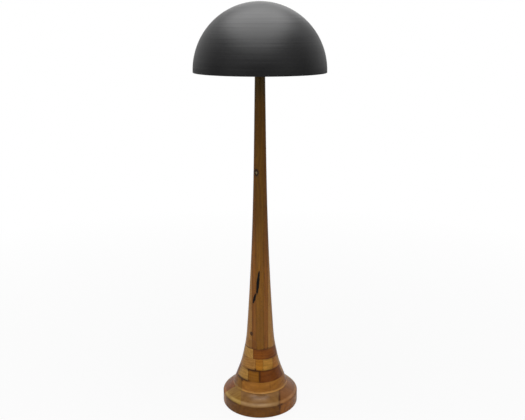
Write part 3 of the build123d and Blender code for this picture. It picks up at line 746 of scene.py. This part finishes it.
def dress_solids(coat):
    """Materials of the nodes that keep their solids' shape, and what each gives the eye."""
    # phenolic resin from a polished mould: black with soft highlights
    phenolic = moulded("moulded_phenolic_black", "#141313", 0.22, 0.32)
    # zinc plate: a cool, slightly dull grey
    zinc = plain_metal("zinc_plated_steel", "#b4b5b0", 0.28, 0.4, 1.5)
    # brass pressed from sheet: warm yellow with a soft sheen
    brass = plain_metal("pressed_brass", "#c9a45c", 0.25, 0.38, 1.0)
    finishes = {
        "felt_pad": felt(),
        # iron as it left the sand: dark grey and grainy
        "foot_weight": plain_metal("sand_cast_iron", "#3a3a3a", 0.6, 0.8, 1.2, metallic=0.8),
        # nylon: black and matt
        "inlet_bushing": moulded("moulded_nylon_black", "#161616", 0.4, 0.5),
        # unglazed ceramic: cream and dry
        "switch_core": moulded("unglazed_steatite", "#d9d4c6", 0.5, 0.65),
        # black glass: deep and glossy
        "bulb_insulator": moulded("black_lamp_glass", "#0c0c10", 0.1, 0.18),
        # aluminium pressed from sheet: bright and a little dull
        "bulb_cap": plain_metal("pressed_aluminium", "#c9cacc", 0.25, 0.35, 0.8),
        # a drop of solder: soft grey
        "bulb_contact": plain_metal("solder", "#a9abad", 0.35, 0.5, 0.8),
        "bulb_globe": frosted_glass(),
        "shade_spider": coat,
    }
    for node in ("holder_cap", "holder_housing", "clamp_ring", "switch_knob", "switch_rotor"):
        finishes[node] = phenolic
    for node in ("threaded_pipe", "bottom_washer", "bottom_nut", "lock_nut", "grip_screw"):
        finishes[node] = zinc
    for node in ("seat_washer", "terminal_screws", "screw_shell", "centre_contact", "switch_spindle"):
        finishes[node] = brass
    for node, material in finishes.items():
        dress(node, material)


# ------------------------------------------------------------------ studio

# the camera's place in metres and its lens, fitted to the outlines of the shade and the stem
CAMERA_HEIGHT = 1.431
CAMERA_DISTANCE = 2.429
CAMERA_ASIDE = 0.009
CAMERA_PITCH = 14.95                # degrees below the horizon
FOCAL_PIXELS = 677.5
IMAGE_WIDTH = 525                   # pixels
SENSOR = 36.0                       # mm

# softboxes: place and target in metres, width, height, watts
SOFTBOXES = {
    "overhead": ((-0.05, -0.19, 2.0), (-0.05, -0.19, 0.0), 1.0, 0.86, 17),
    "front": ((-0.2, -4.4, 5.6), (0, 0, 0.3), 4.6, 2.0, 116),
    "left": ((-2.8, -2.8, 2.1), (0, 0, 0.5), 3.0, 2.0, 17),
    "right": ((2.8, -2.8, 2.1), (0, 0, 0.5), 3.0, 2.0, 15),
    "back": ((0.3, 4.0, 3.4), (0, 0, 0.5), 3.0, 2.0, 26),
}
ROOM_LIGHT = 0.18                   # of the dim room round the studio, where a white backdrop is 1
FLOOR_RADIUS = 60.0                 # m
FLOOR_COLOUR = (0.85, 0.85, 0.85, 1)
FLOOR_GLOW = (0.5, 3.0, 0.9, 1.0)   # m from the lamp, and the share of white there, so that shadows show


def make_camera():
    """Camera in front of the lamp, a little above its shade and tipped down."""
    data = bpy.data.cameras.new("camera")
    data.sensor_width = SENSOR
    data.sensor_fit = "HORIZONTAL"
    data.lens = FOCAL_PIXELS * SENSOR / IMAGE_WIDTH
    camera = bpy.data.objects.new("camera", data)
    camera.location = (CAMERA_ASIDE, -CAMERA_DISTANCE, CAMERA_HEIGHT)
    camera.rotation_euler = (radians(90 - CAMERA_PITCH), 0, 0)
    bpy.context.scene.collection.objects.link(camera)
    bpy.context.scene.camera = camera


def make_softboxes():
    """One low over the shade, a large one high in front, weak ones at the sides and behind."""
    for name, (place, target, width, height, power) in SOFTBOXES.items():
        data = bpy.data.lights.new(f"{name}_softbox", "AREA")
        data.shape = "RECTANGLE"
        data.size = width
        data.size_y = height
        data.energy = power
        light = bpy.data.objects.new(data.name, data)
        light.location = place
        light.rotation_euler = (Vector(target) - Vector(place)).to_track_quat("-Z", "Y").to_euler()
        bpy.context.scene.collection.objects.link(light)


def make_backdrop():
    """White behind the lamp, for the eye and for what mirrors it, in a dim room."""
    world = bpy.data.worlds.new("studio")
    bpy.context.scene.world = world
    world.use_nodes = True
    tree = world.node_tree
    tree.nodes.clear()
    path = add(tree, "LightPath")
    way = add(tree, "SeparateXYZ", {"Vector": add(tree, "TexCoord").outputs["Generated"]})
    behind = add(tree, "MapRange", {"Value": way.outputs["Y"], "From Min": -0.1, "From Max": 0.25})
    mirrored = add(tree, "Math", {0: path.outputs["Is Glossy Ray"], 1: path.outputs["Is Transmission Ray"]},
                   operation="MAXIMUM")
    backdrop = add(tree, "Math", {0: mirrored.outputs[0], 1: behind.outputs[0]}, operation="MULTIPLY")
    seen = add(tree, "Math", {0: path.outputs["Is Camera Ray"], 1: backdrop.outputs[0]}, operation="MAXIMUM")
    strength = add(tree, "MapRange", {"Value": seen.outputs[0], "To Min": ROOM_LIGHT, "To Max": 1.0})
    white = add(tree, "Background", {"Color": (1, 1, 1, 1), "Strength": strength.outputs[0]})
    add(tree, "OutputWorld", {"Surface": white.outputs[0]})


def make_floor():
    """White floor that glows for the eye, a little less near the lamp, where its shadow lies."""
    bm = bmesh.new()
    bmesh.ops.create_circle(bm, cap_ends=True, segments=64, radius=FLOOR_RADIUS)
    mesh = bpy.data.meshes.new("studio_floor")
    bm.to_mesh(mesh)
    bm.free()
    floor = bpy.data.objects.new("studio_floor", mesh)
    bpy.context.scene.collection.objects.link(floor)
    material, tree = new_material("pale_floor")
    path = add(tree, "LightPath")
    lit = add(tree, "BsdfDiffuse", {"Color": FLOOR_COLOUR})
    glow = add(tree, "Emission", {"Color": (1, 1, 1, 1), "Strength": 1.0})
    away = add(tree, "VectorMath", {0: add(tree, "TexCoord").outputs["Object"]}, operation="LENGTH")
    near, far, least, most = FLOOR_GLOW
    glowing = add(tree, "MapRange", {"Value": away.outputs["Value"], "From Min": near, "From Max": far,
                                     "To Min": least, "To Max": most})
    share = add(tree, "Math", {0: path.outputs["Is Camera Ray"], 1: glowing.outputs[0]}, operation="MULTIPLY")
    both = add(tree, "MixShader", {0: share.outputs[0], 1: lit.outputs[0], 2: glow.outputs[0]})
    add(tree, "OutputMaterial", {"Surface": both.outputs[0]})
    mesh.materials.append(material)


make_camera()
make_softboxes()
make_backdrop()
make_floor()
bpy.context.scene.view_settings.view_transform = "Standard"
wood_draws = random.Random(7)
make_courses(wood_draws)
make_shaft(wood_draws)
black_coat = powder_coat()
make_shade(black_coat)
dress_solids(black_coat)
